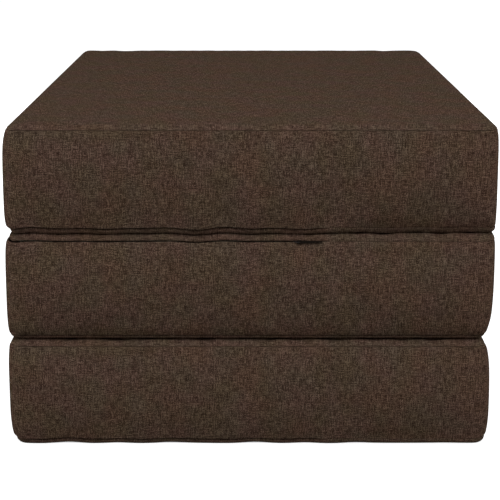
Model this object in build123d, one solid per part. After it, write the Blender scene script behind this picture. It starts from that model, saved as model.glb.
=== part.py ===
from build123d import *
from math import sqrt
import os

# A fold-out foam mattress that stacks into a low seat: three equal foam panels, each in its own
# zipped fabric cover, joined by two fabric hinge strips and folded in a Z.
# Millimetres. Origin: centre of the footprint, on the floor. +X right, +Y back, +Z up.
# The lower and upper panels lie face up. The middle one lies face down, its back on top.

# Panels, outside their covers
panel_length = 660.0          # X, seam to seam, the way the mattress unfolds
panel_width = 965.0           # Y, seam to seam, the width of the bed
panel_height = 149.7          # Z, back to face
fold_gap = 0.3                # air between two folded panels
plan_corner_radius = 20.0     # the upright corners, seen from above
side_bulge = 6.0              # how far the foam pushes every side out past its seams

# Cover: a face, a band round the sides and a back, sewn at a face seam and a zip seam
fabric = 1.4
face_seam_drop = 7.0          # the face seam lies this far below the face
face_draw_in = 12.0           # the face is flat from this far inside its seam
zip_seam_rise = 9.0           # the zip seam lies this far above the back
back_draw_in = 9.0
bulge_chords = 6              # flat strips that stand for the arc of the bulge
edge_chords = 4               # for the arc of a rounded edge
hidden_chords = 3             # and for any arc that the cover hides

# Foam core
foam_ease = 0.3               # air between foam and cover

# Zip: an L along the front and the left side, depths counted inwards from the seam outline
zip_slit = 2.2                # between the two lips of fabric that hide the zip
zip_front_gap = 235.0         # front seam without a zip, up to the right corner
zip_side_gap = 82.5           # left seam without a zip, up to the back corner
zip_reach_in = 40.0           # how deep the pieces along the zip may lie
tape_thickness = 0.5
tape_width = 9.0
tape_tail = 8.0               # tape past the last coil, at both ends
coil_gap = 1.4                # the slider's post runs in it
coil_width = 1.4
coil_thickness = 1.4
stop_length = 2.0
stop_thickness = 0.7
stop_overlap = 0.5            # past each coil row

# Slider: a plate before and one behind the tapes, a post between them, a bridge for the pull
slider_clearance = 0.4
slider_length = 11.0
slider_height = 6.0
slider_plate = 0.6
slider_flange = 0.6
slider_corner = 0.8
slider_end_gap = 31.0         # from the slider's middle to the end of the coils
post_thickness = 1.0
post_length = 6.0
bridge_thickness = 1.2
bridge_bar = 1.0
bridge_half_gap = 1.8         # along the zip, from the pull's axis to a leg
bridge_head_gap = 1.7         # from the pull's axis out to the bar
neck_top = 0.7                # how far the solid neck comes out of the slit

# Pull: an eye on the bridge and a tapered tail
pull_stand_off = 1.8          # its axis, out from the seam outline
pull_thickness = 1.2
pull_bar = 1.2                # round the eye
pull_corner = 0.5
eye_length = 3.6
eye_width = 2.6
tail_root_radius = 2.2
tail_tip_radius = 0.8
pull_length = 34.0

# Hinge strips, sewn to one panel and lying against the next one's edge
hinge_offset = 6.5            # from the seam outline out to the fold's axis
hinge_ease = 0.3
strip_thickness = 1.4
strip_overlap = 6.0           # lies this far past the seam of its own panel
strip_reach = 5.0             # past the fold, towards the next panel
strip_end_gap = 25.0          # bare seam at each end of a strip

overrun = 5.0                 # what a cutting or trimming body sticks out by


def lip_depth(drop):
    """How deep the inside of the back's rounded edge lies, at a drop below the zip seam."""
    run = back_draw_in - fabric
    rise = zip_seam_rise - fabric
    radius = (run ** 2 + rise ** 2) / (2 * rise)
    return back_draw_in - sqrt(radius ** 2 - (radius - rise + drop) ** 2)


# Where the zip's pieces lie: its ends, then its depths from the slider's front plate inwards
zip_front_end = panel_length / 2 - zip_front_gap
zip_side_end = panel_width / 2 - zip_side_gap
front_plate_depth = lip_depth(slider_height / 2) + slider_clearance
tape_depth = front_plate_depth + slider_plate + slider_clearance
coil_depth = tape_depth + tape_thickness
coil_back = coil_depth + coil_thickness
rear_plate_depth = coil_back + slider_clearance
coil_edge = coil_gap / 2 + coil_width


def block(low, high):
    """A box between two opposite corners."""
    size = Vector(*high) - Vector(*low)
    return Pos(*low) * Box(size.X, size.Y, size.Z, align=(Align.MIN, Align.MIN, Align.MIN))


def outline(height, draw_in):
    """The panel's rounded rectangle at a height, drawn in from the seams or pushed out."""
    shape = RectangleRounded(
        panel_length - 2 * draw_in, panel_width - 2 * draw_in, plan_corner_radius - draw_in)
    return Plane.XY.offset(height) * shape


def chords(arc, count):
    """Flat strips in place of an arc."""
    return Polyline(*[arc @ (step / count) for step in range(count + 1)])


def rounded_form(wall):
    """A closed form whose wall follows the seam outline.

    The wall is a curve of height against the distance out from the seams, lowest point first.
    One quarter is two slabs and a corner turned about its upright axis; the rest is mirrored.
    """
    straight_length = panel_length / 2 - plan_corner_radius
    straight_width = panel_width / 2 - plan_corner_radius
    low, high = wall @ 0, wall @ 1

    def section(reach):
        inside = Polyline((reach + high.X, high.Y), (0, high.Y), (0, low.Y), (reach + low.X, low.Y))
        return make_face((Pos(reach, 0) * wall).edges() + inside.edges())

    right = extrude(Plane.XZ * section(panel_length / 2), amount=straight_width, dir=(0, 1, 0))
    back = extrude(Plane.YZ * section(panel_width / 2), amount=straight_length, dir=(1, 0, 0))
    corner = revolve(Plane.XZ * section(plan_corner_radius), axis=Axis.Z, revolution_arc=90)
    quarter = right + back + Pos(straight_length, straight_width, 0) * corner
    half = quarter + mirror(quarter, about=Plane.YZ)
    return half + mirror(half, about=Plane.XZ)


def edge_form(rise, draw_in, inset, inner):
    """The slab from a flat side up to its seam, its edge an arc that leaves the flat smoothly."""
    arc = TangentArc((-draw_in, inset), (-inset, rise), tangent=(1, 0))
    return rounded_form(chords(arc, hidden_chords if inner else edge_chords))


def back_form(inset, inner=False):
    """From the flat back up to the zip seam."""
    return edge_form(zip_seam_rise, back_draw_in, inset, inner)


def face_form(inset, inner=False):
    """From the face seam up to the flat face."""
    edge = edge_form(face_seam_drop, face_draw_in, inset, inner)
    return Pos(0, 0, panel_height) * mirror(edge, about=Plane.XY)


def band_form(inset):
    """Between the seams: drawn in at both, and pushed out between them by the foam."""
    face_seam_rise = panel_height - face_seam_drop
    arc = ThreePointArc(
        (-inset, zip_seam_rise),
        (side_bulge - inset, (zip_seam_rise + face_seam_rise) / 2),
        (-inset, face_seam_rise))
    return rounded_form(chords(arc, hidden_chords if inset else bulge_chords))


def ring(outer_depth, inner_depth, bottom, top):
    """An upright wall that follows the seam outline, between two depths and two heights."""
    wall = outline(bottom, outer_depth) - outline(bottom, inner_depth)
    return extrude(wall, amount=top - bottom, dir=(0, 0, 1))


def zip_run(end_gap, bottom, top):
    """The L of space along the zip, ending a gap before the ends of the coils."""
    low_x = -panel_length / 2 - side_bulge - overrun
    low_y = -panel_width / 2 - side_bulge - overrun
    front = block(
        (low_x, low_y, bottom),
        (zip_front_end - end_gap, -panel_width / 2 + zip_reach_in, top))
    side = block(
        (low_x, low_y, bottom),
        (-panel_length / 2 + zip_reach_in, zip_side_end - end_gap, top))
    return front + side


def slit():
    """The gap between the lips, cut through the cover's wall."""
    return zip_run(0, zip_seam_rise - zip_slit / 2, zip_seam_rise + zip_slit / 2)


def cover_face():
    return face_form(0) - face_form(fabric)


def cover_band():
    return band_form(0) - band_form(fabric) - slit()


def cover_back():
    return back_form(0) - back_form(fabric) - slit()


def foam_core():
    """Foam that fills the cover, pressed in where the zip runs behind its lips."""
    inset = fabric + foam_ease
    groove_depth = rear_plate_depth + slider_plate + slider_clearance
    groove_top = zip_seam_rise + coil_gap / 2 + tape_width + foam_ease
    groove = ring(-side_bulge - overrun, groove_depth, 0, groove_top)
    groove = groove & zip_run(-tape_tail - foam_ease, 0, groove_top)
    return back_form(inset, inner=True) + band_form(inset) + face_form(inset, inner=True) - groove


def band_tape():
    """The upper tape: a web with the coil's edge, and a flange sewn to the band's inside."""
    bottom = zip_seam_rise + coil_gap / 2
    top = bottom + tape_width
    web = ring(tape_depth, coil_depth, bottom, top)
    flange = ring(-side_bulge, coil_depth, top - tape_thickness, top)
    return (web + flange) & band_form(fabric) & zip_run(-tape_tail, bottom, top)


def back_tape():
    """The lower tape, sewn where it meets the back's rounded inside."""
    top = zip_seam_rise - coil_gap / 2
    return ring(tape_depth, coil_depth, fabric, top) & back_form(fabric) & zip_run(-tape_tail, 0, top)


def band_coil():
    bottom = zip_seam_rise + coil_gap / 2
    top = bottom + coil_width
    return ring(coil_depth, coil_back, bottom, top) & zip_run(0, bottom, top)


def back_coil():
    top = zip_seam_rise - coil_gap / 2
    bottom = top - coil_width
    return ring(coil_depth, coil_back, bottom, top) & zip_run(0, bottom, top)


def end_stop():
    """A clamp on both coil rows. X runs along the zip to its end, Y inwards, Z up."""
    half_height = coil_edge + stop_overlap
    plate = block(
        (-stop_length, coil_back, -half_height), (0, coil_back + stop_thickness, half_height))
    rib = block((-stop_length, coil_depth, -coil_gap / 2), (0, coil_back, coil_gap / 2))
    return plate + rib


def slider_plate_at(depth):
    """One of the slider's two plates, its corners rounded, at a depth."""
    shape = Plane.XZ.offset(-depth) * RectangleRounded(slider_length, slider_height, slider_corner)
    return extrude(shape, amount=slider_plate, dir=(0, 1, 0))


def slider_post():
    """The diamond that parts the coil rows, between the plates."""
    half_length = post_length / 2
    half_thickness = post_thickness / 2
    plan = make_face(Polyline(
        (-half_length, 0), (0, half_thickness), (half_length, 0), (0, -half_thickness), close=True))
    return extrude(
        Plane.XZ.offset(-front_plate_depth) * plan,
        amount=rear_plate_depth - front_plate_depth + slider_plate, dir=(0, 1, 0))


def slider():
    """The slider about the pull's place. X runs along the zip, Y inwards, Z up."""
    body = slider_plate_at(front_plate_depth) + slider_plate_at(rear_plate_depth) + slider_post()
    half_length = slider_length / 2 - slider_corner
    for side in (-1, 1):
        middle = side * (slider_height - slider_flange) / 2
        body += block(
            (-half_length, coil_depth + slider_clearance, middle - slider_flange / 2),
            (half_length, rear_plate_depth + slider_plate, middle + slider_flange / 2))
    return body + bridge()


def bridge():
    """A neck through the slit and a loop outside it, for the pull's eye."""
    half_length = bridge_half_gap + bridge_bar
    inner_head = -pull_stand_off - bridge_head_gap
    outer = block(
        (-half_length, inner_head - bridge_bar, -bridge_thickness / 2),
        (half_length, front_plate_depth, bridge_thickness / 2))
    outer = fillet(
        outer.edges().filter_by(Axis.Z).group_by(Axis.Y)[0], bridge_bar)
    window = block(
        (-bridge_half_gap, inner_head, -bridge_thickness), (bridge_half_gap, -neck_top, bridge_thickness))
    return outer - window


def pull():
    """The pull, lying along +X from its axis on the bridge."""
    head_length = eye_length + 2 * pull_bar
    head_width = eye_width + 2 * pull_bar
    head_middle = -pull_bar / 2 + head_length / 2
    head = Pos(head_middle, 0) * RectangleRounded(head_length, head_width, pull_corner)
    root = Pos(head_middle + head_length / 2 - tail_root_radius, 0) * Circle(tail_root_radius)
    tip = Pos(pull_length - tail_tip_radius, 0) * Circle(tail_tip_radius)
    tail = make_hull((root + tip).edges())
    eye = Pos(pull_bar / 2 + eye_length / 2, 0) * Rectangle(eye_length, eye_width)
    plate = Plane.XZ * (head + tail - eye)
    return extrude(
        Pos(0, -pull_stand_off + pull_thickness / 2, 0) * plate, amount=pull_thickness, dir=(0, -1, 0))


def on_front(piece, along):
    """Seat a zip fitting on the front run, its X towards the zip's end."""
    return Pos(along, -panel_width / 2, zip_seam_rise) * piece


def on_side(piece, along):
    """Seat a zip fitting on the left run, its X towards the zip's end."""
    turned = Rot(0, 0, -90) * mirror(piece, about=Plane.YZ)
    return Pos(-panel_length / 2, along, zip_seam_rise) * turned


def panel_pieces():
    """The pieces that all three panels share, back down."""
    return {
        "foam_core": foam_core(),
        "cover_face": cover_face(),
        "cover_band": cover_band(),
        "cover_back": cover_back(),
        "zip_band_tape": band_tape(),
        "zip_back_tape": back_tape(),
        "zip_band_coil": band_coil(),
        "zip_back_coil": back_coil(),
        "zip_end_stops": Compound(children=[
            on_front(end_stop(), zip_front_end), on_side(end_stop(), zip_side_end)]),
    }


def slider_pieces(at_front):
    """The slider and its pull, parked at the zip's front end or at its side end."""
    if at_front:
        along = zip_front_end - slider_end_gap
        return {"zip_slider": on_front(slider(), along), "zip_pull": on_front(pull(), along)}
    along = zip_side_end - slider_end_gap
    return {"zip_slider": on_side(slider(), along), "zip_pull": on_side(pull(), along)}


def stacked(piece, level, face_down):
    """Move a piece of a panel to its level in the stack, turned over if its face is down."""
    bottom = level * (panel_height + fold_gap)
    if face_down:
        return Pos(0, 0, bottom + panel_height) * mirror(piece, about=Plane.XY)
    return Pos(0, 0, bottom) * piece


def hinge_strip(side, fold, seam_distance, panel):
    """A strip on one side: sewn over its own panel's seam, reaching past the fold above."""
    inner = panel_length / 2 + hinge_ease
    outer = inner + strip_thickness
    half_width = panel_width / 2 - strip_end_gap
    low_x, high_x = sorted((side * inner, side * outer))
    strip = block(
        (low_x, -half_width, fold - seam_distance - strip_overlap),
        (high_x, half_width, fold + strip_reach))
    strip = fillet(strip.edges().filter_by(Axis.Y), strip_thickness / 3)
    return strip - panel


def fold_height(level):
    """The middle of the gap above a level of the stack."""
    return level * (panel_height + fold_gap) + panel_height + fold_gap / 2


def build():
    """Every node of the stack, by name."""
    shared = panel_pieces()
    pieces = {}
    for level, (name, face_down) in enumerate(
            (("lower", False), ("middle", True), ("upper", False))):
        own = {**shared, **slider_pieces(at_front=face_down)}
        for piece_name, piece in own.items():
            pieces[f"{name}_{piece_name}"] = stacked(piece, level, face_down)
    lower = stacked(band_form(0) + face_form(0), 0, False)
    middle = stacked(band_form(0) + back_form(0), 1, True)
    pieces["left_hinge_strip"] = hinge_strip(
        -1, fold_height(0), face_seam_drop + fold_gap / 2, lower)
    pieces["right_hinge_strip"] = hinge_strip(
        1, fold_height(1), zip_seam_rise + fold_gap / 2, middle)
    return pieces


if __name__ == "__main__":
    os.makedirs("parts", exist_ok=True)
    for node, shape in build().items():
        export_step(shape, f"parts/{node}.step")
    fold_x = panel_length / 2 + hinge_offset
    print("fold axes at x", fold_x, "and heights", fold_height(0), fold_height(1))
    print("front slider at x", zip_front_end - slider_end_gap)
    print("side sliders at y", zip_side_end - slider_end_gap)
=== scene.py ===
import math

import bpy
import numpy as np
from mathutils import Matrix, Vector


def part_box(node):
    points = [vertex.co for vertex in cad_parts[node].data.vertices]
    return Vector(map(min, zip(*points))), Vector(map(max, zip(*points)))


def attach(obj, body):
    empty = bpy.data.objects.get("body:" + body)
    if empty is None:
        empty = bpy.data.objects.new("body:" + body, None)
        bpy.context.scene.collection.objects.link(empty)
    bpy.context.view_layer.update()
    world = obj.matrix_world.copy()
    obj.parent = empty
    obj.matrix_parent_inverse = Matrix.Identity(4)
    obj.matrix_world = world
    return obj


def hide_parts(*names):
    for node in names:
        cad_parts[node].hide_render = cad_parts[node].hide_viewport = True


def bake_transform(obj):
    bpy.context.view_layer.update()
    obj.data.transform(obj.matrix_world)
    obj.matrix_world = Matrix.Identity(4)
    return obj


# A folded tri-fold foam mattress: three padded panels in zipped linen-look covers, stacked in a Z.
# Metres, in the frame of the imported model: +X right, +Y back, +Z up, the floor at 0.

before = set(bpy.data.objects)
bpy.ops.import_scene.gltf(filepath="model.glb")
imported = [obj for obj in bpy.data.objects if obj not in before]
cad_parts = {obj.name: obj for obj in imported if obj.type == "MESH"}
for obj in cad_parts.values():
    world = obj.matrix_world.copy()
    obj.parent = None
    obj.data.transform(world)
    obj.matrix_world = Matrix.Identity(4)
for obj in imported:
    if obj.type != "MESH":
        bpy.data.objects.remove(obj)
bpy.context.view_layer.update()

bl_info = {
    "name": "Folded foam mattress",
    "version": (1, 0, 0),
    "blender": (4, 5, 0),
    "location": "3D View > Sidebar > Mattress",
    "description": "Builds the covers, foam, strips, zips and studio of a folded foam mattress",
    "category": "Add Mesh",
}

PANELS = ("lower", "middle", "upper")
LOWER, MIDDLE, UPPER = range(3)
UP = np.array([0.0, 0.0, 1.0])


def node_box(node):
    """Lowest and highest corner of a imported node, as two arrays."""
    low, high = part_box(node)
    return np.array(low), np.array(high)


# The panel that all three share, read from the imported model
face_low, face_high = node_box("lower_cover_face")
back_low = node_box("lower_cover_back")[0]
band_low, band_high = node_box("lower_cover_band")
HALF_LENGTH = (face_high[0] - face_low[0]) / 2
HALF_WIDTH = (face_high[1] - face_low[1]) / 2
PANEL_HEIGHT = face_high[2] - back_low[2]
FACE_SEAM = band_high[2] - back_low[2]
ZIP_SEAM = band_low[2] - back_low[2]
BAND_HEIGHT = FACE_SEAM - ZIP_SEAM
LEVEL_STEP = node_box("middle_cover_face")[0][2] - back_low[2]
ZIP_FRONT_END = node_box("lower_zip_band_coil")[1][0]
ZIP_SIDE_END = node_box("lower_zip_band_coil")[1][1]
# Radius of the upright corners, seen from above
CORNER = 0.020

# Distances from a seam to the grid lines beside it, on a face or back and on a band
SHEET_LINES = np.array([0.0, 0.0004, 0.0012, 0.0028, 0.0058, 0.0095, 0.0145])
BAND_LINES = np.array([0.0, 0.0012, 0.0034, 0.0068, 0.0115])

# From a seam: a face or a back is held up to the first distance and flat from the second
SEAM_HELD = 0.006
FLAT_FROM = 0.03
# A zip's form eases out over this distance either side of the zip's end
ZIP_FADE = 0.006


def length(name, description, default, **options):
    """A size that a user can change, in metres."""
    return bpy.props.FloatProperty(
        name=name, description=description, default=default, unit="LENGTH", precision=4, **options)


def per_panel(name, description, *default):
    """A size of the lower, the middle and the upper panel, in metres."""
    return bpy.props.FloatVectorProperty(
        name=name, description=description, default=default, size=3, unit="LENGTH", precision=4)


def share(name, description, default):
    """A plain number that says how much of something there is."""
    return bpy.props.FloatProperty(name=name, description=description, default=default)


def colour(name, description, default):
    """A colour, as an sRGB hex value."""
    return bpy.props.StringProperty(name=name, description=description, default=default)


class CoverShape(bpy.types.PropertyGroup):
    """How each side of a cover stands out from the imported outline."""

    cell: length("Cell", "Size of a mesh cell of a cover", 0.0125)
    row: length("Row", "Height of a mesh row of a band", 0.0095)
    face_draw_in: length("Face draw-in", "How far inside its seam a face is flat", 0.012)
    back_draw_in: length("Back draw-in", "How far inside its seam a back is flat", 0.010)
    face_squareness: share("Face squareness", "Power of a face's rounded edge", 1.7)
    back_squareness: share("Back squareness", "Power of a back's rounded edge", 2.3)
    slant_squareness: share("Slant squareness", "Power of an edge whose seam is drawn in", 1.5)
    crown: length("Crown", "Rise of the uppermost face in its middle", 0.0015)
    face_seam_left: per_panel(
        "Face seam, left", "Out of the outline at the left", 0.0018, 0.0018, -0.002)
    face_seam_right: per_panel(
        "Face seam, right", "Out of the outline at the right", -0.005, -0.005, 0.003)
    zip_seam_left: per_panel(
        "Zip seam, left", "Out of the outline at the left", -0.001, 0.0, -0.001)
    zip_seam_right: per_panel(
        "Zip seam, right", "Out of the outline at the right", -0.001, 0.0045, 0.005)
    overhang: per_panel(
        "Overhang", "How far the band hangs out over the zip at the front left corner",
        0.0005, 0.001, 0.0035)
    overhang_front: per_panel(
        "Overhang, front", "The same along the front", 0.0015, 0.0005, 0.0024)
    bulge_left: per_panel("Bulge, left", "Push of the foam at the left", 0.0065, 0.0065, 0.0065)
    bulge_right: per_panel("Bulge, right", "Push of the foam at the right", 0.0065, 0.0065, 0.006)
    bulge_limit: length(
        "Bulge limit", "A side comes near this, so that open panels lie side by side", 0.0064)
    bulge_front: length("Bulge, front", "Push of the foam at the front and the back", 0.0052)
    edge_turn: length("Edge turn", "How far a band turns in to its seams", 0.0014)
    under_turn: length(
        "Under turn", "How far a front seam that faces down is drawn in", 0.0024)
    under_lean: share("Under lean", "Lean above such a seam, as a share of its turn", 1.4)
    pull_room: length(
        "Pull room", "How far a zip's lips lie back where its pull travels", 0.0015)
    slit: length("Slit", "Height of the gap between the zip's lips", 0.0022)
    plain_slit: length("Plain slit", "The same past the zip's ends", 0.0002)
    groove: length("Groove", "Mean depth of the groove along a face's seam", 0.00014)
    hem: length("Hem", "How deep a seam's turned-in edge reaches", 0.0020)
    closed_fold: length("Closed fold", "Depth of the fold where a seam is closed", 0.0002)
    open_fold: length("Open fold", "How much deeper it is where a seam is open", 0.0009)
    tuck: length("Lip tuck", "How far the back's lip lies behind the band's", 0.0011)
    wave: per_panel(
        "Lip wave", "How far the zip's lips wander up and down", 0.0015, 0.0014, 0.0026)
    gap_wave: length(
        "Gap wave", "How far the line between two panels wanders up and down", 0.0018)
    pucker: length("Pucker", "Depth of the puckers along the seams", 0.0008)
    dent: length("Dent", "Depth of the long, slow dents of a band", 0.0010)
    cloth: length("Cloth", "Thickness of the cover's cloth", 0.0013)


class ClothForce(bpy.types.PropertyGroup):
    """The cloth simulation that swells a cover over its foam."""

    pressure: share("Pressure", "Air pressure inside", 4.0)
    slack: share("Slack", "Share of cloth to spare, which makes the puckers", 0.012)
    bending: share("Bending", "How much the cloth resists a bend", 2.0)
    plump: share("Plumpness before", "Share of the bulge that a cover has before it swells", 0.7)
    swell_band: length("Swell of the band", "Furthest that a point of the band may move", 0.005)
    swell_face: length("Swell of a face", "Furthest that a point of a face may move", 0.002)
    frames: bpy.props.IntProperty(name="Frames", description="Steps of the simulation", default=20)
    quality: bpy.props.IntProperty(
        name="Quality", description="Smaller steps within each step", default=6)


class FoamShape(bpy.types.PropertyGroup):
    """How a foam core lies inside its cover."""

    inset: length("Inset", "How far the foam's sides lie inside the packed outline", 0.0085)
    gap: length("Gap", "Bare room over and under the foam", 0.001)
    plump: share("Plumpness", "Share of the cover's bulge that the foam has by itself", 0.4)


class StripShape(bpy.types.PropertyGroup):
    """The two fabric strips that hinge the panels."""

    cloth: length("Cloth", "Thickness of a strip", 0.0012)
    step: length("Step", "Length of a mesh cell along the fold", 0.01)
    sag: length("Sag", "How far a strip sags in between its two seams", 0.0022)
    end_sag: length("End sag", "How much further it sags at its two ends", 0.0035)
    end_reach: length("End reach", "How far from its ends that begins", 0.03)
    tuck: length("Tuck", "How far a strip's edges are sewn into the seams", 0.0018)
    pucker: length("Pucker", "Depth of the puckers along a strip", 0.0005)
    allowance: length("Seam allowance", "Cloth inside the seam, on each edge of a strip", 0.002)


class Finish(bpy.types.PropertyGroup):
    """The colours of the finishes."""

    thread_dark: colour("Dark thread", "Darkest yarn of the linen look", "#2b1f19")
    thread_mid: colour("Middle thread", "Usual yarn of the linen look", "#43342a")
    thread_light: colour("Light thread", "Palest yarn of the linen look", "#6f5c4e")
    foam: colour("Foam", "Polyurethane foam", "#e3dcc4")
    tape: colour("Zip tape", "Woven polyester tape", "#241b16")
    coil: colour("Zip coil", "Nylon monofilament", "#1f1915")
    enamel: colour("Enamel", "Baked enamel of the slider", "#181412")
    rubber: colour("Rubber", "Moulded pull", "#130e0a")
    floor: colour("Floor", "Studio floor, as the camera sees it", "#f2f2f2")
    floor_unseen: colour("Floor in light", "Studio floor, as it throws light back", "#aaa6a2")


class Studio(bpy.types.PropertyGroup):
    """Camera, lamps and floor."""

    distance: length("Distance", "From the front of the mattress to the camera", 1.95)
    height: length("Height", "Height of the camera", 0.7543)
    pitch: bpy.props.FloatProperty(
        name="Pitch", description="How far the camera looks down",
        default=math.radians(11.76), subtype="ANGLE")
    lens: bpy.props.FloatProperty(
        name="Lens", description="Focal length in millimetres", default=106.6, unit="CAMERA")
    sensor: bpy.props.FloatProperty(
        name="Sensor", description="Width in millimetres", default=36.0, unit="CAMERA")
    shift: share("Shift", "Vertical shift of the view", -0.1)
    key: bpy.props.FloatProperty(
        name="Key lamp", description="Power of the front lamp", default=274.0, unit="POWER")
    fill: bpy.props.FloatProperty(
        name="Fill lamps", description="Power of each side lamp", default=26.0, unit="POWER")
    back_fill: share("Back lamp", "Power of the back lamp, as a share of a side lamp's", 0.8)
    ambient: share("Ambient", "Strength of the world, where 1 is white", 0.30)
    floor_glow: share("Floor glow", "Light that the floor gives to the camera alone", 0.74)
    floor_half: length("Floor", "From the floor's middle to its edge", 12.0)


# Node helpers

def linear(hex_colour):
    """An sRGB hex value as linear RGBA, by the two parts of the sRGB curve."""
    parts = [int(hex_colour[i:i + 2], 16) / 255 for i in (1, 3, 5)]
    return tuple(
        p / 12.92 if p <= 0.04045 else ((p + 0.055) / 1.055) ** 2.4 for p in parts) + (1.0,)


def add(tree, kind, inputs=None, **settings):
    """Add a node with its settings. An input is a value, or a node or socket to link from."""
    node = tree.nodes.new("ShaderNode" + kind)
    for name, value in settings.items():
        setattr(node, name, value)
    for name, value in (inputs or {}).items():
        if isinstance(value, bpy.types.Node):
            value = value.outputs[0]
        if isinstance(value, bpy.types.NodeSocket):
            tree.links.new(value, node.inputs[name])
        else:
            node.inputs[name].default_value = value
    return node


def new_material(name):
    """An empty material, with its tree and its output."""
    material = bpy.data.materials.new(name)
    material.use_nodes = True
    tree = material.node_tree
    tree.nodes.clear()
    return material, tree, tree.nodes.new("ShaderNodeOutputMaterial")


def streaks(tree, cloth, across, along, seed, detail=2.0, roughness=0.6):
    """Noise stretched into streaks on the flat cloth, with two real sizes.

    The cloth's place is divided by the streaks' size in its first and its second direction. The
    seed moves it to another part of the noise.
    """
    place = add(tree, "Mapping", {
        "Vector": cloth, "Location": (seed, seed * 0.7, 0), "Scale": (1 / across, 1 / along, 1)})
    return add(tree, "TexNoise", {
        "Vector": place, "Scale": 1.0, "Detail": detail, "Roughness": roughness},
        noise_dimensions="2D").outputs["Fac"]


def camera_sees(tree):
    """1 for a ray from the camera, or one that gloss or glass sends on, and 0 for other light."""
    path = add(tree, "LightPath")
    bounced = add(tree, "Math", {
        0: path.outputs["Is Glossy Ray"], 1: path.outputs["Is Transmission Ray"]},
        operation="MAXIMUM")
    return add(tree, "Math", {0: path.outputs["Is Camera Ray"], 1: bounced}, operation="MAXIMUM")


def linen(finish):
    """Polyester linen-look plain weave: matt heathered yarn with slubs both ways.

    The yarns are 0.8 mm apart in the real cloth, too fine to show. They are drawn 1.4 mm apart.
    """
    yarn = 0.0014
    warp_width, warp_length = 0.0012, 0.0130
    weft_width, weft_length = 0.0013, 0.0105
    uneven_size, fuzz_size = 0.0016, 0.0013
    slub_width, warp_slub, weft_slub = 0.0026, 0.040, 0.034
    patch_width, patch_length = 0.034, 0.090
    # What the crossings, their knuckles, the slubs and the fuzz add to the yarns' own noise; the
    # knuckles' share is painted light: paler yarn crowns and painted shade in the gaps between
    # yarns
    crossing_share, knuckle_height_and_light_share, slub_share, fuzz_share = 0.10, 0.18, 0.035, 0.33

    material, tree, output = new_material("linen_look_polyester_weave")
    cloth = add(tree, "UVMap", uv_map="cloth")
    warp = streaks(tree, cloth, warp_width, warp_length, seed=3.1)
    weft = streaks(tree, cloth, weft_length, weft_width, seed=7.7)
    # The yarns cross in a plain weave, here and there with the warp or the weft on top
    uneven = streaks(tree, cloth, uneven_size, uneven_size, seed=5.3, detail=0.0)
    place = add(tree, "SeparateXYZ", {"Vector": cloth})
    turns = []
    for axis in ("X", "Y"):
        angle = add(tree, "Math", {
            0: place.outputs[axis], 1: math.pi / yarn}, operation="MULTIPLY")
        turns.append(add(tree, "Math", {0: angle}, operation="SINE"))
    crossing = add(tree, "Math", {0: turns[0], 1: turns[1]}, operation="MULTIPLY")
    over = add(tree, "Math", {0: crossing, 1: crossing_share, 2: uneven}, operation="MULTIPLY_ADD")
    on_top = add(tree, "MapRange", {"Value": over, "From Min": 0.42, "From Max": 0.62}, clamp=True)
    yarns = add(tree, "Mix", {"Factor": on_top, "A": warp, "B": weft})
    # Painted light: the knuckles of the crossings are paler, and the gaps between the yarns darker
    # as painted shade. The same height also drives the bump
    knuckle = add(tree, "Math", {0: crossing}, operation="ABSOLUTE")
    raised_with_painted_light = add(tree, "Math", {0: knuckle, 1: knuckle_height_and_light_share, 2: yarns}, operation="MULTIPLY_ADD")
    # Slubs: stretches of thicker, paler or darker yarn, both ways
    slubs = add(tree, "Math", {
        0: streaks(tree, cloth, slub_width, warp_slub, seed=9.2, detail=1.0),
        1: streaks(tree, cloth, weft_slub, slub_width, seed=6.4, detail=1.0)}, operation="ADD")
    fuzz = streaks(tree, cloth, fuzz_size, fuzz_size, seed=2.7, detail=0.0)
    shade = raised_with_painted_light
    for effect, strength in ((slubs, slub_share), (fuzz, fuzz_share)):
        shade = add(tree, "Math", {0: effect, 1: strength, 2: shade}, operation="MULTIPLY_ADD")
    heather = add(tree, "MapRange", {
        "Value": shade, "From Min": 0.583, "From Max": 0.955}, clamp=True)
    ramp = add(tree, "ValToRGB", {"Fac": heather})
    stops = ramp.color_ramp.elements
    stops[0].position, stops[0].color = 0.0, linear(finish.thread_dark)
    stops[1].position, stops[1].color = 1.0, linear(finish.thread_light)
    stops.new(0.5).color = linear(finish.thread_mid)
    # Dye lots of the heathered yarn: patches that are a little redder or greener, or more yellow
    tinted = ramp.outputs["Color"]
    for seed, low, high in ((1.9, (1.055, 0.98, 1.01, 1), (0.95, 1.013, 0.975, 1)),
                            (4.3, (0.992, 1.0, 1.04, 1), (1.008, 1.004, 0.952, 1))):
        patch = add(tree, "Math", {
            0: streaks(tree, cloth, patch_width, patch_length, seed, roughness=0.45),
            1: streaks(tree, cloth, patch_length, patch_width, seed + 0.6, roughness=0.45)},
            operation="ADD")
        lot = add(tree, "MapRange", {"Value": patch, "From Min": 0.8, "From Max": 1.2}, clamp=True)
        dye = add(tree, "Mix", {"Factor": lot, "A": low, "B": high}, data_type="RGBA")
        tinted = add(tree, "Mix", {
            "Factor": 1.0, "A": tinted, "B": dye.outputs["Result"]},
            data_type="RGBA", blend_type="MULTIPLY").outputs["Result"]
    bump = add(tree, "Bump", {"Height": raised_with_painted_light, "Strength": 0.5, "Distance": 0.0006})
    shader = add(tree, "BsdfPrincipled", {
        "Base Color": tinted, "Roughness": 1.0, "Specular IOR Level": 0.0, "Normal": bump})
    tree.links.new(shader.outputs[0], output.inputs["Surface"])
    return material


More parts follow.
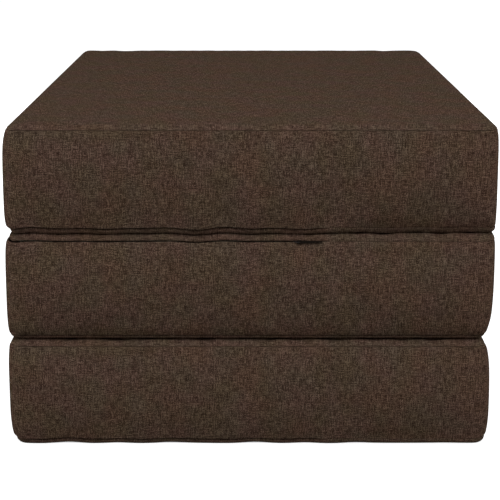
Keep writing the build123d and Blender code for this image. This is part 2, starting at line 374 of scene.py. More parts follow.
def plain_finish(name, hex_colour, roughness, grain, depth, **sockets):
    """A moulded, foamed or painted finish: one colour with a fine grain of a real size.

    The grain's noise takes the colour from a fifth darker to a fifth paler.
    """
    contrast = 0.2
    material, tree, output = new_material(name)
    place = add(tree, "TexCoord").outputs["Object"]
    noise = add(tree, "TexNoise", {
        "Vector": place, "Scale": 1 / grain, "Detail": 2.0}).outputs["Fac"]
    base = linear(hex_colour)[:3]
    mixed = add(tree, "Mix", {
        "Factor": noise, "A": (*(c * (1 - contrast) for c in base), 1.0),
        "B": (*(min(c * (1 + contrast), 1.0) for c in base), 1.0)}, data_type="RGBA")
    bump = add(tree, "Bump", {"Height": noise, "Strength": 0.4, "Distance": depth})
    shader = add(tree, "BsdfPrincipled", {
        "Base Color": mixed.outputs["Result"], "Roughness": roughness, "Normal": bump, **sockets})
    tree.links.new(shader.outputs[0], output.inputs["Surface"])
    return material


# Mesh helpers

def smooth_step(value, low, high):
    """0 up to low and 1 from high. Between them a share t of the way becomes 3 t^2 - 2 t^3."""
    t = np.clip((value - low) / (high - low), 0, 1)
    return t * t * (3 - 2 * t)


def fade_out(value, low, high):
    """1 up to low, easing to 0 at high."""
    return 1 - smooth_step(value, low, high)


def waves(along, spans, seed):
    """A smooth wander between -1 and 1: the mean of a sine for each span, at a random phase."""
    rng = np.random.default_rng(seed)
    total = np.zeros_like(along)
    for span in spans:
        total = total + np.sin(2 * np.pi * along / span + rng.uniform(0, 2 * np.pi))
    return total / len(spans)


def stations(half, step):
    """Grid lines along one side: even on the straight, closer together towards the rounded ends."""
    straight = half - CORNER
    count = max(2, round(2 * straight / step))
    return np.concatenate([
        -half + SHEET_LINES, np.linspace(-straight, straight, count + 1),
        half - SHEET_LINES[::-1]])


def round_corners(x, y, half_x, half_y, radius):
    """Bend a rectangular grid so that its corners are round.

    In each corner's square the distance from the square's inner corner is kept, and the place
    along the square's two outer sides becomes an angle from 0 to 90 degrees.
    """
    qx = np.maximum(np.abs(x) - (half_x - radius), 0)
    qy = np.maximum(np.abs(y) - (half_y - radius), 0)
    reach = np.maximum(qx, qy)
    safe = np.where(reach > 0, reach, 1)
    angle = np.where(qx >= qy, np.pi / 4 * qy / safe, np.pi / 2 - np.pi / 4 * qx / safe)
    inner_x = np.clip(x, -(half_x - radius), half_x - radius)
    inner_y = np.clip(y, -(half_y - radius), half_y - radius)
    step_x = reach * np.cos(angle) * np.sign(x) * (reach > 0)
    step_y = reach * np.sin(angle) * np.sign(y) * (reach > 0)
    return inner_x + step_x, inner_y + step_y


def border(grid):
    """The border of a grid of values, anticlockwise from its lowest corner."""
    return np.concatenate([grid[:, 0], grid[-1, 1:], grid[-2::-1, -1], grid[0, -2:0:-1]])


def numbered(rows, columns, start=0):
    """A grid of vertex numbers, row by row."""
    return start + np.arange(rows * columns).reshape(rows, columns)


def quads(index):
    """The four corners of each cell of a grid of vertex numbers, or of any other values."""
    return np.stack([index[:-1, :-1], index[1:, :-1], index[1:, 1:], index[:-1, 1:]], 2).reshape(
        (-1, 4) + index.shape[2:])


def closed_rows(rows):
    """Repeat the first column of each row after its last."""
    return np.concatenate([rows, rows[:, :1]], 1)


def new_mesh(name, points, faces, cloth=None, smooth=True):
    """A mesh object from arrays. cloth holds each face corner's place on the flat cloth."""
    mesh = bpy.data.meshes.new(name)
    mesh.from_pydata(np.asarray(points).tolist(), [], np.asarray(faces).tolist())
    if cloth is not None:
        layer = mesh.uv_layers.new(name="cloth")
        layer.data.foreach_set("uv", np.asarray(cloth, np.float32).reshape(-1))
    if smooth:
        mesh.polygons.foreach_set("use_smooth", np.ones(len(mesh.polygons), bool))
    mesh.update()
    piece = bpy.data.objects.new(name, mesh)
    bpy.context.scene.collection.objects.link(piece)
    return piece


def thicken(piece, thickness):
    """Give a cloth its thickness, inwards, and smooth it once."""
    wall = piece.modifiers.new("Cloth thickness", "SOLIDIFY")
    wall.thickness, wall.offset = thickness, -1
    finer = piece.modifiers.new("Smooth", "SUBSURF")
    finer.levels = finer.render_levels = 1


class PanelForm:
    """The closed form of one panel, back down: a face grid, rings of a band, and a back grid.

    The face and the back are one rectangular grid with rounded corners. Each column of the band
    stands on a point of that grid's border.
    """

    def __init__(self, shape, number):
        self.shape, self.number = shape, number
        # Draw-in, height and squareness of the two rounded edges
        self.edges = {
            "face": (shape.face_draw_in, PANEL_HEIGHT - FACE_SEAM, shape.face_squareness),
            "back": (shape.back_draw_in, ZIP_SEAM, shape.back_squareness)}
        x, y = np.meshgrid(
            stations(HALF_LENGTH, shape.cell), stations(HALF_WIDTH, shape.cell), indexing="ij")
        self.flat_x, self.flat_y = x, y
        self.x, self.y = round_corners(x, y, HALF_LENGTH, HALF_WIDTH, CORNER)
        self.inside = np.minimum(HALF_LENGTH - np.abs(x), HALF_WIDTH - np.abs(y))
        self.nearest = self.nearest_columns()

        # The border, its outward directions and the distance along it
        self.ring = np.stack([border(self.x), border(self.y)], 1)
        core_half = np.array([HALF_LENGTH, HALF_WIDTH]) - CORNER
        from_core = self.ring - np.clip(self.ring, -core_half, core_half)
        self.outward = from_core / np.linalg.norm(from_core, axis=1)[:, None]
        self.columns = len(self.ring)
        self.outward3 = np.concatenate([self.outward, np.zeros((self.columns, 1))], 1)
        self.on_front = self.outward[:, 1] < 0
        self.on_left = self.outward[:, 0] < 0
        steps = np.linalg.norm(np.roll(self.ring, -1, 0) - self.ring, axis=1)
        self.around = np.concatenate([[0], np.cumsum(steps)])
        self.along = self.around[:-1]
        self.heights = self.band_heights()

    def nearest_columns(self):
        """For each grid point, the number of the border column beside it, on its nearest side."""
        rows, cols = self.flat_x.shape
        number = np.full((rows, cols), -1)
        order = border(numbered(rows, cols))
        number.reshape(-1)[order] = np.arange(len(order))
        i, j = np.meshgrid(np.arange(rows), np.arange(cols), indexing="ij")
        by_x = HALF_LENGTH - np.abs(self.flat_x) < HALF_WIDTH - np.abs(self.flat_y)
        side_i = np.where(self.flat_x < 0, 0, rows - 1)
        side_j = np.where(self.flat_y < 0, 0, cols - 1)
        return np.where(by_x, number[side_i, j], number[i, side_j])

    def band_heights(self):
        """Heights of the band's rows, from the face seam down: even, and closer at both seams."""
        last = BAND_LINES[-1]
        count = max(4, round((BAND_HEIGHT - 2 * last) / self.shape.row))
        middle = np.linspace(last, BAND_HEIGHT - last, count + 1)
        return FACE_SEAM - np.concatenate([
            BAND_LINES[:-1], middle, BAND_HEIGHT - BAND_LINES[-2::-1]])

    def by_side(self, left, right, front, back):
        """A value for each side. Round a corner each is weighted by its direction's cosine^2."""
        out_x, out_y = self.outward.T
        return (left * np.maximum(-out_x, 0) ** 2 + right * np.maximum(out_x, 0) ** 2
                + front * np.maximum(-out_y, 0) ** 2 + back * np.maximum(out_y, 0) ** 2)

    def zip_here(self):
        """1 where the zip runs, along the front and the left side, easing to 0 past its ends."""
        x, y = self.ring.T
        front = fade_out(x, ZIP_FRONT_END - ZIP_FADE, ZIP_FRONT_END + ZIP_FADE)
        left = fade_out(y, ZIP_SIDE_END - ZIP_FADE, ZIP_SIDE_END + ZIP_FADE)
        return np.maximum(self.on_front * front, self.on_left * left)

    def pull_travel(self):
        """1 along the straight that the zip's pull travels, easing to 0 past its two ends."""
        before_start, after_start, after_end = 0.006, 0.004, 0.008
        nearly_straight = 0.9
        axis = 0 if self.number == MIDDLE else 1
        place = self.ring[:, axis]
        start = CORNER - (HALF_LENGTH, HALF_WIDTH)[axis]
        end = node_box(f"{PANELS[self.number]}_zip_pull")[1][axis]
        return ((self.outward[:, 1 - axis] < -nearly_straight)
                * smooth_step(place, start - before_start, start + after_start)
                * fade_out(place, end, end + after_end))

    def wander(self):
        """How the zip's lips wander about their straight line, from -1 to 1.

        The middle and the upper panel lie back to back, so their lips wander up and down together.
        The middle lips are calm beside their slider, and all are calmer where the zip has ended.
        """
        spans, seed = (0.066, 0.085, 0.13), (11, 13, 13)[self.number]
        slider_room, calm_share, calm_from = 0.03, 0.7, 0.1
        wander = waves(self.along, spans, seed)
        x = self.ring[:, 0]
        if self.number == MIDDLE:
            slider = node_box("middle_zip_slider")[0][0]
            beside = np.exp(-((x - slider) / slider_room) ** 2)
            wander = wander * (beside * self.on_front - 1)
        past_zip = smooth_step(x, ZIP_FRONT_END, ZIP_FRONT_END + calm_from)
        return wander * (1 - calm_share * past_zip * self.on_front)

    def seam_offset(self, seam):
        """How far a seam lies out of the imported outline, to the left and to the right."""
        left = getattr(self.shape, seam + "_left")[self.number]
        right = getattr(self.shape, seam + "_right")[self.number]
        return self.by_side(left, right, 0.0, 0.0)

    def under_turn(self, seam):
        """How far a front or back seam that faces down is drawn in, where no zip holds it out."""
        before, after = 0.01, 0.09
        depth = self.by_side(0.0, 0.0, self.shape.under_turn, self.shape.under_turn)
        if (seam, self.number) == ("face_seam", MIDDLE):
            return depth
        if (seam, self.number) == ("zip_seam", UPPER):
            past_zip = smooth_step(self.ring[:, 0], ZIP_FRONT_END - before, ZIP_FRONT_END + after)
            return depth * np.where(self.on_front, past_zip, 1.0)
        return depth * 0.0

    def lean(self, seam):
        """How far the swollen cloth leans in at such a seam, as the foam's lower edge gives way."""
        return self.shape.under_lean * self.under_turn(seam)

    def overhang(self):
        """How far the band hangs out over the zip: fully at the front left corner, then less."""
        fade_start, fade_end, pull_share = -0.35, 0.05, 0.45
        left = (self.shape.overhang[self.number]
                * fade_out(self.ring[:, 1], fade_start, fade_end)
                * (1 - pull_share * self.pull_travel()))
        front = self.shape.overhang_front[self.number] * self.zip_here()
        return self.by_side(left, 0.0, front, 0.0)

    def profile(self, inside, draw_in, rise, squareness):
        """How far a rounded edge lies from its flat: a quarter of a superellipse.

        A run of 1 at the seam and 0 on the flat gives rise * (1 - (1 - run^s)^(1/s)).
        """
        run = np.clip(1 - inside / draw_in, 0, 1)
        return rise * (1 - (1 - run ** squareness) ** (1 / squareness))

    def edge_length(self, draw_in, rise, squareness):
        """How much longer the cloth of a rounded edge is than its plan, at each grid point.

        The profile's length is summed over short chords, and the plan's length is taken off.
        """
        chords = 400
        run = np.linspace(0, draw_in, chords)
        drop = rise - self.profile(run, draw_in, rise, squareness)
        arc = np.concatenate([[0], np.cumsum(np.hypot(np.diff(run), np.diff(drop)))])
        return np.interp(self.inside, run, (arc[-1] - arc) - (draw_in - run))

    def sheet_points(self, seam, draw_in, rise, squareness):
        """A face or back grid: flat, with a rounded edge that meets the seam's own outline."""
        nearest = self.nearest
        offset = self.seam_offset(seam) - self.under_turn(seam)
        push = offset[nearest] * fade_out(self.inside, 0.0, FLAT_FROM)
        x = self.x + self.outward[nearest][..., 0] * push
        y = self.y + self.outward[nearest][..., 1] * push
        slanted = (self.under_turn(seam) / self.shape.under_turn)[nearest]
        squareness = squareness + (self.shape.slant_squareness - squareness) * slanted
        return x, y, self.profile(self.inside, draw_in, rise, squareness)

    def face_grid(self):
        """The face, its edge falling away from its flat."""
        x, y, drop = self.sheet_points("face_seam", *self.edges["face"])
        return np.stack([x, y, PANEL_HEIGHT - drop], 2)

    def back_grid(self):
        """The back, its edge rising from its flat. The edge wanders with the zip's lips."""
        x, y, rise = self.sheet_points("zip_seam", *self.edges["back"])
        upright = rise / ZIP_SEAM
        wave = (self.shape.wave[self.number] * upright
                + self.shape.gap_wave * (1 - upright) * fade_out(self.inside, SEAM_HELD, FLAT_FROM))
        return np.stack([x, y, rise + self.wander()[self.nearest] * wave], 2)

    def band_grid(self, plump):
        """The band's rows. Beside the straight line between its seams it bulges by 1 - |u|^power.

        u runs from -1 at one seam to 1 at the other. The edges turn in by 1 - exp(-distance), a
        seam that faces down is drawn in by exp(-distance), and the edge over the zip hangs out.
        """
        side_power, front_power = 3.6, 2.2
        edge_reach, turn_reach = 0.005, 0.009
        overhang_from, wave_from = 0.72, 0.8
        shape, number = self.shape, self.number
        down = ((FACE_SEAM - self.heights) / BAND_HEIGHT)[:, None]
        top, low = self.seam_offset("face_seam"), self.seam_offset("zip_seam")
        bulge = self.by_side(shape.bulge_left[number], shape.bulge_right[number],
                             shape.bulge_front, shape.bulge_front)
        power = self.by_side(side_power, side_power, front_power, front_power)
        line = top + (low - top) * down
        out = line + (bulge - np.maximum(line, 0)) * plump * (1 - np.abs(2 * down - 1) ** power)
        to_seam = np.minimum(down, 1 - down) * BAND_HEIGHT
        out = out + shape.edge_turn * (1 - np.exp(-to_seam / edge_reach))
        for seam, distance in (("face_seam", down), ("zip_seam", 1 - down)):
            out = out - self.under_turn(seam) * np.exp(-distance * BAND_HEIGHT / turn_reach)
        out = out + self.overhang() * smooth_step(down, overhang_from, 1.0)
        wave = self.wander() * shape.wave[number] * smooth_step(down, wave_from, 1.0)
        return np.concatenate([
            self.ring[None] + self.outward[None] * out[..., None],
            (self.heights[:, None] + wave)[..., None]], 2)

    def closed_form(self, plump=1.0):
        """Points and quads of the closed cushion before it swells, and the numbers of its parts.

        The band's first and last row are the border points of the face and of the back.
        """
        face, band, back = self.face_grid(), self.band_grid(plump), self.back_grid()
        face_index = numbered(*face.shape[:2])
        inner = numbered(len(band) - 2, self.columns, start=face_index.size)
        back_index = numbered(*face.shape[:2], start=face_index.size + inner.size)
        band_index = np.concatenate([border(face_index)[None], inner, border(back_index)[None]])
        points = np.empty((2 * face_index.size + inner.size, 3))
        points[face_index], points[back_index], points[band_index] = face, back, band
        faces = np.concatenate([
            quads(face_index), quads(closed_rows(band_index)), quads(back_index)[:, ::-1]])
        return points, faces, (face_index, band_index, back_index)


def swell(points, faces, held, cap, force):
    """Swell a closed cushion with Blender's cloth under air pressure.

    The held points stay. Any other move is shortened to its cap.
    """
    cushion = new_mesh("swelling", points, faces)
    group = cushion.vertex_groups.new(name="hold")
    group.add(np.nonzero(held)[0].tolist(), 1.0, "REPLACE")
    modifier = cushion.modifiers.new("Swell", "CLOTH")
    settings = modifier.settings
    settings.use_pressure = True
    settings.uniform_pressure_force = force.pressure
    settings.vertex_group_mass = group.name
    settings.effector_weights.gravity = 0
    settings.shrink_min = -force.slack
    settings.quality = force.quality
    settings.bending_stiffness = force.bending
    modifier.point_cache.frame_start, modifier.point_cache.frame_end = 1, force.frames
    scene = bpy.context.scene
    for step in range(1, force.frames + 1):
        scene.frame_set(step)
    graph = bpy.context.evaluated_depsgraph_get()
    swollen = np.empty(len(points) * 3)
    cushion.evaluated_get(graph).data.vertices.foreach_get("co", swollen)
    scene.frame_set(1)
    bpy.data.objects.remove(cushion)
    move = swollen.reshape(-1, 3) - points
    size = np.linalg.norm(move, axis=1)
    tiny = 1e-9
    return points + move * np.minimum(1, cap / np.maximum(size, tiny))[:, None]


def swollen_form(form, force):
    """A panel's cushion after it has swollen, and the numbers of its parts.

    The seams and the flats of the face and the back are held, but for the uppermost face's flat.
    """
    points, faces, index = form.closed_form(force.plump)
    face_index, band_index, back_index = index
    held = np.zeros(len(points), bool)
    for sheet in (face_index, back_index):
        held[sheet[(form.inside > FLAT_FROM) | (form.inside < SEAM_HELD)]] = True
    held[band_index[[0, -1]]] = True
    if form.number == UPPER:
        held[face_index[form.inside > FLAT_FROM]] = False
    cap = np.full(len(points), force.swell_band)
    cap[face_index] = cap[back_index] = force.swell_face
    return swell(points, faces, held, cap, force), index


def finished_band(form, rows):
    """A swollen band's rows with their puckers, kept inside the limit of the left and right sides.

    Puckers are short waves that fade away from the seams, and dents are long ones. Where its pull
    travels, a zip's lips lie back. Above a seam that faces down the cloth leans in.
    """
    pucker_spans, pucker_reach, pucker_start = (0.023, 0.031, 0.042), 0.014, 0.005
    dent_spans, dent_start = (0.16, 0.27, 0.41), 0.03
    room_reach, lean_reach = 0.006, 0.0065
    shape, heights = form.shape, form.heights[:, None]
    to_seam = np.minimum(FACE_SEAM - heights, heights - ZIP_SEAM)
    out = (shape.pucker * waves(form.along, pucker_spans, seed=31 + form.number)
           * np.exp(-to_seam / pucker_reach) * smooth_step(to_seam, 0, pucker_start)
           + shape.dent * waves(form.along, dent_spans, seed=51 + form.number)
           * smooth_step(to_seam, 0, dent_start))
    room = shape.pull_room * form.pull_travel()
    out = out - room * np.exp(-((heights - ZIP_SEAM) / room_reach) ** 2)
    for seam, height in (("face_seam", FACE_SEAM), ("zip_seam", ZIP_SEAM)):
        out = out - form.lean(seam) * np.exp(-np.abs(heights - height) / lean_reach)
    rows = rows + out[..., None] * form.outward3
    # A push d of a left or right side becomes limit * tanh(d / limit)
    limit = shape.bulge_limit
    push = ((rows[..., :2] - form.ring) * form.outward).sum(-1)
    limited = np.where(push > 0, limit * np.tanh(push / limit), push)
    pull_back = (limited - push) * form.by_side(1.0, 1.0, 0.0, 0.0)
    return rows + pull_back[..., None] * form.outward3


def parted_seams(form, points, index):
    """The face, the band's rows and the back, parted at their seams.

    Where the zip runs, the band and the back part by the slit and the back's lip lies behind the
    band's. Elsewhere the seam is nearly closed. A face's seam shows as an uneven groove.
    """
    slit_spans, groove_spans = (0.037, 0.059, 0.16), (0.031, 0.047, 0.11)
    slit_mean, slit_uneven, groove_uneven = 0.8, 0.3, 0.00012
    lean_reach, tuck_reach, slit_reach, groove_reach = 0.012, 0.008, 0.004, 0.003
    back_room, back_rise = 0.25, 0.0015
    shape, number, nearest = form.shape, form.number, form.nearest
    face_index, band_index, back_index = index
    zipped = form.zip_here()
    uneven = slit_mean + slit_uneven * waves(form.along, slit_spans, seed=71 + number)
    plain = shape.plain_slit / 2
    half_slit = plain + (shape.slit / 2 * uneven - plain) * zipped
    groove = shape.groove + groove_uneven * waves(form.along, groove_spans, seed=91 + number)

    rows = finished_band(form, points[band_index])
    face, back = points[face_index], points[back_index]
    face.reshape(-1, 3)[border(numbered(*face.shape[:2]))] = rows[0]
    # The back keeps its own edge, and not the overhanging band's
    back.reshape(-1, 3)[border(numbered(*back.shape[:2]))] = border(form.back_grid())
    crown = shape.crown * (number == UPPER) * (
        1 - (form.flat_x / HALF_LENGTH) ** 2) * (1 - (form.flat_y / HALF_WIDTH) ** 2)
    face[..., 2] = np.minimum(face[..., 2], PANEL_HEIGHT + crown)
    back[..., 2] = np.maximum(back[..., 2], 0.0 if number == LOWER else -back_rise)
    for sheet, seam in ((face, "face_seam"), (back, "zip_seam")):
        inwards = (form.outward3 * form.lean(seam)[:, None])[nearest]
        sheet -= inwards * fade_out(form.inside, 0.0, lean_reach)[..., None]
    tuck = shape.tuck * zipped + back_room * shape.pull_room * form.pull_travel()
    inwards = (form.outward3 * tuck[:, None])[nearest]
    back -= inwards * fade_out(form.inside, 0.0, tuck_reach)[..., None]
    back[..., 2] -= half_slit[nearest] * fade_out(form.inside, 0.0, slit_reach)
    face[..., 2] += groove[nearest] * fade_out(form.inside, 0.0, groove_reach)
    rows[0] -= UP * groove[:, None]
    rows[-1] += UP * half_slit[:, None]
    return face, rows, back


def hem(form, edge, lift, open_share):
    """Two rows turned in from an edge, so that a seam shows as the meeting of two folds.

    The first row lies a fold inside the edge and the second a hem inside it. Both are lifted away
    from the edge by a share of the fold, which is deeper where the seam is open.
    """
    first_lift, second_lift = 0.35, 0.6
    open_share = np.broadcast_to(open_share, form.columns)
    fold = (form.shape.closed_fold + form.shape.open_fold * open_share)[:, None]
    return (edge - form.outward3 * fold + UP * (lift * fold * first_lift),
            edge - form.outward3 * form.shape.hem + UP * (lift * fold * second_lift))


def band_piece(form, rows, seam_share, zipped):
    """Points, quads and flat cloth of a band with its two hems.

    On the flat cloth a point lies at its distance round the panel, and as far down as the cloth
    runs from the first row to its own, measured in one place on the front.
    """
    top = hem(form, rows[0], -1, seam_share)
    low = hem(form, rows[-1], 1, zipped)
    band = np.stack([top[1], top[0], *rows, *low])
    on_front = form.columns // 6
    steps = np.linalg.norm(np.diff(band[:, on_front], axis=0), axis=1)
    down = np.concatenate([[0], np.cumsum(steps)])
    flat = np.stack(np.broadcast_arrays(form.around[None], -down[:, None]), 2)
    index = numbered(*band.shape[:2])
    return band.reshape(-1, 3), quads(closed_rows(index)), quads(flat)


def sheet_piece(form, side, grid, turn, open_share):
    """Points, quads and flat cloth of a face or a back with its hem. A turn of -1 faces down.

    On the flat cloth a point lies at its place in the plan, moved outwards on the rounded edge by
    what the cloth there is longer than the plan.
    """
    index = numbered(*grid.shape[:2])
    outward = form.outward[form.nearest]
    flat = np.stack([form.flat_x, form.flat_y], 2) + (
        outward * form.edge_length(*form.edges[side])[..., None])
    folded = np.stack(hem(form, border(grid), -turn, open_share))
    hem_index = np.concatenate([
        border(index)[None], numbered(2, form.columns, start=index.size)])
    first_row = 0.0011
    hem_flat = border(flat) + form.outward * np.array([0, first_row, form.shape.hem])[:, None, None]
    faces = np.concatenate([quads(index), quads(closed_rows(hem_index))])
    cloth = np.concatenate([quads(flat), quads(closed_rows(hem_flat))])
    return (np.concatenate([grid.reshape(-1, 3), folded.reshape(-1, 3)]),
            faces[:, ::turn], cloth[:, ::turn])


def in_stack(points, faces, number):
    """Put a panel's points at its level. The middle panel is turned over, which turns its faces."""
    placed = np.array(points, float)
    if number == MIDDLE:
        placed[:, 2] = PANEL_HEIGHT - placed[:, 2]
        faces = faces[:, ::-1]
    placed[:, 2] += number * LEVEL_STEP
    return placed, faces


def cover_piece(name, points, faces, cloth, number, shape, material):
    """A finished piece of a cover at its place in the stack, without the points it doesn't use."""
    placed, turned = in_stack(points, faces, number)
    if number == MIDDLE:
        cloth = cloth[:, ::-1]
    used, compact = np.unique(turned, return_inverse=True)
    piece = new_mesh(name, placed[used], compact.reshape(turned.shape), cloth)
    thicken(piece, shape.cloth)
    piece.data.materials.append(material)
    return piece


def cover_panel(number, shape, force, material):
    """The face, the band and the back of one panel's cover, cut from one swollen cushion."""
    form = PanelForm(shape, number)
    face, rows, back = parted_seams(form, *swollen_form(form, force))
    # A face's seam is three tenths as open as a zip's
    zipped, seam_share = form.zip_here(), 0.3
    pieces = {"band": band_piece(form, rows, seam_share, zipped),
              "face": sheet_piece(form, "face", face, 1, seam_share),
              "back": sheet_piece(form, "back", back, -1, zipped)}
    for side, (points, faces, cloth) in pieces.items():
        name = f"{PANELS[number]}_padded_{side}"
        piece = cover_piece(name, points, faces, cloth, number, shape, material)
        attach(piece, f"{PANELS[number]}_panel")
        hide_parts(f"{PANELS[number]}_cover_{side}")


class MATTRESS_OT_covers(bpy.types.Operator):
    """Make the padded faces, bands and backs of the three covers."""

    bl_idname = "mattress.covers"
    bl_label = "Covers"

    def execute(self, context):
        scene = context.scene
        material = linen(scene.mattress_finish)
        for number in range(len(PANELS)):
            cover_panel(number, scene.mattress_cover, scene.mattress_force, material)
        return {"FINISHED"}


class MATTRESS_OT_foam(bpy.types.Operator):
    """Make the foam cores inside the covers: the cover's own form, plainer and scaled down."""

    bl_idname = "mattress.foam"
    bl_label = "Foam cores"

    def execute(self, context):
        scene, foam = context.scene, context.scene.mattress_foam
        # Open-cell polyurethane foam, cut with a wire: matt, with pores of about a millimetre
        material = plain_finish(
            "cut_polyurethane_foam", scene.mattress_finish.foam,
            roughness=1.0, grain=0.0012, depth=0.0006)
        for number, panel in enumerate(PANELS):
            low, high = node_box(f"{panel}_foam_core")
            points, faces, _ = PanelForm(scene.mattress_cover, number).closed_form(foam.plump)
            middle = (points.max(0) + points.min(0)) / 2
            size = np.array([HALF_LENGTH - foam.inset, HALF_WIDTH - foam.inset,
                             (high[2] - low[2]) / 2 - foam.gap])
            points = (points - middle) / (np.ptp(points, axis=0) / 2) * size
            points[:, 2] += PANEL_HEIGHT / 2
            placed, turned = in_stack(points, faces, number)
            piece = new_mesh(f"{panel}_foam_block", placed, turned)
            piece.data.materials.append(material)
            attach(piece, f"{panel}_panel")
            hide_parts(f"{panel}_foam_core")
        return {"FINISHED"}


def strip(name, side, seams, outs, shape, material):
    """A hinge strip between two seams: a profile of height against depth, carried along the fold.

    Its edges are sewn into the seams, and between them it sags in by a sine's half wave, further
    at the strip's two ends.
    """
    lines = np.array([0.0, 0.005, 0.08, 0.2, 0.35, 0.5, 0.65, 0.8, 0.92, 0.995, 1.0])
    half = node_box(name)[1][1]
    rows = np.linspace(-half, half, int(2 * half / shape.step) + 1)
    low, high = seams
    arch = np.sin(np.pi * lines)
    out = outs[0] + (outs[1] - outs[0]) * lines - shape.sag * arch
    out[[0, -1]] -= shape.tuck
    pucker = waves(rows, (0.026, 0.037, 0.06), seed=71)[:, None] * shape.pucker * arch
    end_sag = smooth_step(np.abs(rows), half - shape.end_reach, half)[:, None] * (
        shape.end_sag * arch)
    y, z = np.meshgrid(rows, low + (high - low) * lines, indexing="ij")
    x = side * (HALF_LENGTH + out[None] + pucker - end_sag)
    points = np.stack([x, y, z], 2)
    faces, cloth = quads(numbered(*x.shape)), quads(np.stack([y, z], 2))
    if side < 0:
        faces, cloth = faces[:, ::-1], cloth[:, ::-1]
    piece = new_mesh(name.replace("strip", "fabric_strip"), points.reshape(-1, 3), faces, cloth)
    thicken(piece, shape.cloth)
    piece.data.materials.append(material)
    return piece


class MATTRESS_OT_strips(bpy.types.Operator):
    """Make the two fabric strips that hinge the panels."""

    bl_idname = "mattress.strips"
    bl_label = "Hinge strips"

    def execute(self, context):
        material = bpy.data.materials["linen_look_polyester_weave"]
        cover, shape = context.scene.mattress_cover, context.scene.mattress_strip
        gap = (LEVEL_STEP - PANEL_HEIGHT) / 2
        # A strip runs from the seam of one panel to the seam of the next
        for name, side, bodies, fold, reach, outs in (
                ("left_hinge_strip", -1, ("lower_panel", "middle_panel"),
                 PANEL_HEIGHT + gap, PANEL_HEIGHT - FACE_SEAM + gap, cover.face_seam_left[:2]),
                ("right_hinge_strip", 1, ("middle_panel", "upper_panel"),
                 PANEL_HEIGHT + LEVEL_STEP + gap, ZIP_SEAM + gap, cover.zip_seam_right[1:])):
            piece = strip(name, side, (fold - reach, fold + reach), outs, shape, material)
            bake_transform(piece)
            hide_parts(name)
        return {"FINISHED"}


class MATTRESS_OT_zips(bpy.types.Operator):
    """Give the zips' tapes, coils, stops, sliders and pulls their finishes."""

    bl_idname = "mattress.zips"
    bl_label = "Zips"

    def execute(self, context):
        finish = context.scene.mattress_finish
        # Woven polyester tape: matt, with a fine rib
        tape = plain_finish("woven_polyester_tape", finish.tape, roughness=0.95,
                            grain=0.0008, depth=0.0002, **{"Specular IOR Level": 0.03})
        # Nylon monofilament coil: smooth, slightly glossy plastic
        coil = plain_finish("nylon_monofilament", finish.coil, roughness=0.55,
                            grain=0.0013, depth=0.0002, **{"Specular IOR Level": 0.1})
        # Baked enamel on die-cast zinc: a soft gloss over slight waviness
        enamel = plain_finish("baked_enamel_on_zinc", finish.enamel, roughness=0.5,
                              grain=0.004, depth=0.00003, **{"Specular IOR Level": 0.12})
        # Moulded rubber: dull, with a fine mould texture
        rubber = plain_finish("moulded_rubber", finish.rubber, roughness=0.75,
                              grain=0.0006, depth=0.00005, **{"Specular IOR Level": 0.04})
        for panel in PANELS:
            for part, material in (
                    ("zip_band_tape", tape), ("zip_back_tape", tape),
                    ("zip_band_coil", coil), ("zip_back_coil", coil),
                    ("zip_end_stops", enamel), ("zip_slider", enamel), ("zip_pull", rubber)):
                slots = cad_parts[f"{panel}_{part}"].data.materials
                slots.clear()
                slots.append(material)
        return {"FINISHED"}


def studio_floor(studio, finish):
    """A flat floor that the camera sees as white, darker only in shadow."""
    half = studio.floor_half
    floor = new_mesh(
        "floor", [(-half, -half, 0), (half, -half, 0), (half, half, 0), (-half, half, 0)],
        [(0, 1, 2, 3)], smooth=False)
    # White painted floor: matt, and greyer as it throws light back than as the camera sees it
    material, tree, output = new_material("white_painted_floor")
    seen = camera_sees(tree)
    shade = add(tree, "Mix", {
        "Factor": seen, "A": linear(finish.floor_unseen), "B": linear(finish.floor)},
        data_type="RGBA")
    base = add(tree, "BsdfDiffuse", {"Color": shade.outputs["Result"]})
    strength = add(tree, "Math", {0: seen, 1: studio.floor_glow}, operation="MULTIPLY")
    glow = add(tree, "Emission", {"Strength": strength})
    both = add(tree, "AddShader", {0: base, 1: glow})
    tree.links.new(both.outputs[0], output.inputs["Surface"])
    floor.data.materials.append(material)


def studio_world(studio):
    """A world that is white to the camera and a weaker light on the object."""
    world = bpy.data.worlds.new("studio_world")
    bpy.context.scene.world = world
    world.use_nodes = True
    tree = world.node_tree
    tree.nodes.clear()
    strength = add(tree, "Mix", {"Factor": camera_sees(tree), "A": studio.ambient, "B": 1.0})
    sky = add(tree, "Background", {"Color": (1, 1, 1, 1), "Strength": strength})
    add(tree, "OutputWorld", {"Surface": sky})


def studio_lamps(studio):
    """Square area lamps that all face the stack's middle."""
    target = (0.0, 0.0, 0.25)
    # Name, place, width and power
    lamps = (("key_lamp", (0.0, -4.2, 5.1), 3.8, studio.key),
             ("left_lamp", (-3.0, 0.0, 0.8), 1.4, studio.fill),
             ("right_lamp", (3.0, 0.0, 0.8), 1.4, studio.fill),
             ("back_lamp", (0.0, 3.2, 0.8), 1.4, studio.fill * studio.back_fill))
    for name, place, width, power in lamps:
        lamp = bpy.data.lights.new(name, "AREA")
        lamp.energy, lamp.size = power, width
        holder = bpy.data.objects.new(name, lamp)
        bpy.context.scene.collection.objects.link(holder)
        holder.location = place
        aim = np.array(target) - np.array(place)
        holder.rotation_euler = (
            math.atan2(math.hypot(aim[0], aim[1]), -aim[2]), 0, math.atan2(-aim[0], aim[1]))


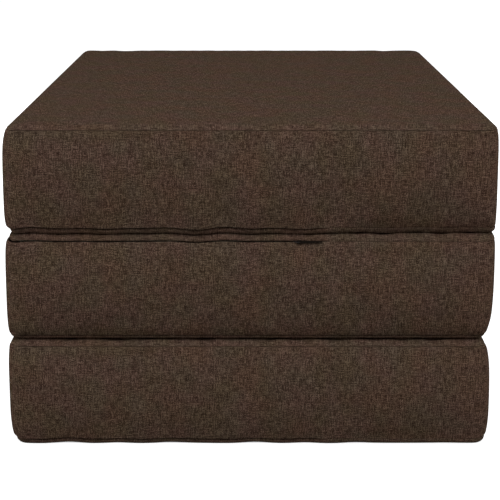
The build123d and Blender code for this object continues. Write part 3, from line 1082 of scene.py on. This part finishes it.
def studio_camera(studio):
    """A camera in front of the stack that looks down a little."""
    camera = bpy.data.cameras.new("camera")
    camera.lens, camera.sensor_width, camera.shift_y = studio.lens, studio.sensor, studio.shift
    holder = bpy.data.objects.new("camera", camera)
    bpy.context.scene.collection.objects.link(holder)
    holder.location = (0, -HALF_WIDTH - studio.distance, studio.height)
    holder.rotation_euler = (math.pi / 2 - studio.pitch, 0, 0)
    bpy.context.scene.camera = holder


class MATTRESS_OT_studio(bpy.types.Operator):
    """Make the floor, the lamps, the world and the camera."""

    bl_idname = "mattress.studio"
    bl_label = "Studio"

    def execute(self, context):
        scene = context.scene
        studio_floor(scene.mattress_studio, scene.mattress_finish)
        studio_world(scene.mattress_studio)
        studio_lamps(scene.mattress_studio)
        studio_camera(scene.mattress_studio)
        scene.view_settings.view_transform = "Standard"
        return {"FINISHED"}


class MATTRESS_PT_panel(bpy.types.Panel):
    """The buttons, in the order in which they are used."""

    bl_idname = "MATTRESS_PT_panel"
    bl_label = "Folded foam mattress"
    bl_space_type = "VIEW_3D"
    bl_region_type = "UI"
    bl_category = "Mattress"

    def draw(self, context):
        for operator in OPERATORS:
            self.layout.operator(operator.bl_idname)


OPERATORS = (MATTRESS_OT_covers, MATTRESS_OT_foam, MATTRESS_OT_strips, MATTRESS_OT_zips,
             MATTRESS_OT_studio)
GROUPS = {"mattress_cover": CoverShape, "mattress_force": ClothForce,
          "mattress_foam": FoamShape, "mattress_strip": StripShape,
          "mattress_finish": Finish, "mattress_studio": Studio}


def register():
    for kind in (*GROUPS.values(), *OPERATORS, MATTRESS_PT_panel):
        bpy.utils.register_class(kind)
    for name, kind in GROUPS.items():
        setattr(bpy.types.Scene, name, bpy.props.PointerProperty(type=kind))


def unregister():
    for name in GROUPS:
        delattr(bpy.types.Scene, name)
    for kind in (MATTRESS_PT_panel, *reversed(OPERATORS), *reversed(list(GROUPS.values()))):
        bpy.utils.unregister_class(kind)


def main():
    """Register the classes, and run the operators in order."""
    register()
    for operator in OPERATORS:
        group, name = operator.bl_idname.split(".")
        getattr(getattr(bpy.ops, group), name)()


if __name__ == "__main__":
    main()
